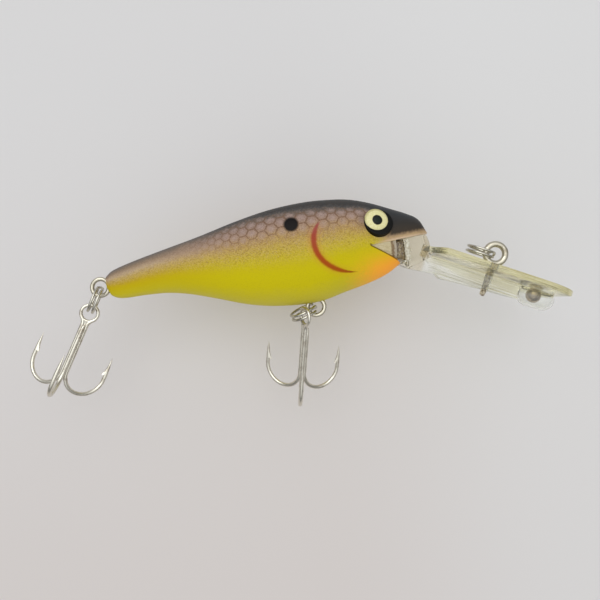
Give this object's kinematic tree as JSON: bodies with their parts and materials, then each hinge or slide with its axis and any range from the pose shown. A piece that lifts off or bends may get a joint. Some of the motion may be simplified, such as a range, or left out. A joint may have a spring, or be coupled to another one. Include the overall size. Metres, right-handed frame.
{
  "type": "crankbait lure",
  "caption": "Deep-diving shad crankbait with a hollow painted body, clear diving lip with a rattle, and treble hooks hung on split rings.",
  "frame": {"origin": "centre of the line tie's eye, by which the fishing line holds the lure", "axes": "+X forwards along the body's axis towards the nose, +Y towards the left flank, +Z towards the back"},
  "size_m": [0.1183, 0.0194, 0.0431],
  "materials": {
    "body_paint": "painted shad pattern under clear gloss",
    "clear_lip": "clear moulded, faintly yellow",
    "cured_glue": "cured clear glue with bubbles",
    "ballast_metal": "cast grey metal",
    "ball_steel": "polished",
    "wire_steel": "bright drawn wire",
    "ring_steel": "bright spring wire",
    "eye_black": "gloss",
    "eye_cream": "gloss with a black pupil",
    "hook_nickel": "nickel plated"
  },
  "bodies": {
    "lure": {"right_body_shell": "body_paint", "left_body_shell": "body_paint", "ballast_weight": "ballast_metal", "diving_lip": "clear_lip", "lip_adhesive": "cured_glue", "rattle_cover": "clear_lip", "line_tie": "wire_steel", "right_eye_cup": "eye_black", "right_eye_lens": "eye_cream", "left_eye_cup": "eye_black", "left_eye_lens": "eye_cream", "belly_hanger": "wire_steel", "tail_hanger": "wire_steel"},
    "rattle_ball": {"rattle_ball": "ball_steel"},
    "line_tie_ring": {"line_tie_ring": "ring_steel"},
    "belly_ring": {"belly_ring": "ring_steel"},
    "belly_treble": {"belly_double_hook": "hook_nickel", "belly_single_hook": "hook_nickel"},
    "tail_ring": {"tail_ring": "ring_steel"},
    "tail_treble": {"tail_double_hook": "hook_nickel", "tail_single_hook": "hook_nickel"}
  },
  "joints": [
    {"name": "rattle_roll", "type": "slide", "parent": "lure", "child": "rattle_ball", "axis": [0.8894, 0, -0.4571], "range_m": [-0.0011, 0.0021]},
    {"name": "line_tie_ring_swing", "type": "hinge", "parent": "lure", "child": "line_tie_ring", "pos_m": [0, 0, 0], "axis": [0, 1, 0], "range_deg": [-16, 190]},
    {"name": "belly_ring_swing", "type": "hinge", "parent": "lure", "child": "belly_ring", "pos_m": [-0.04034, 0, -0.00527], "axis": [0, 1, 0], "range_deg": [-80, 2]},
    {"name": "belly_treble_swing", "type": "hinge", "parent": "belly_ring", "child": "belly_treble", "pos_m": [-0.04294, -0.00281, -0.00664], "axis": [0.9613, 0, 0.2756], "range_deg": [-40, 40]},
    {"name": "tail_ring_swing", "type": "hinge", "parent": "lure", "child": "tail_ring", "pos_m": [-0.08599, 0, 0.00618], "axis": [0, 1, 0], "range_deg": [-45, 110]},
    {"name": "tail_treble_swing", "type": "hinge", "parent": "tail_ring", "child": "tail_treble", "pos_m": [-0.08751, 0, 0.00374], "axis": [0.8192, 0.2588, -0.5119], "range_deg": [-60, 60]}
  ]
}
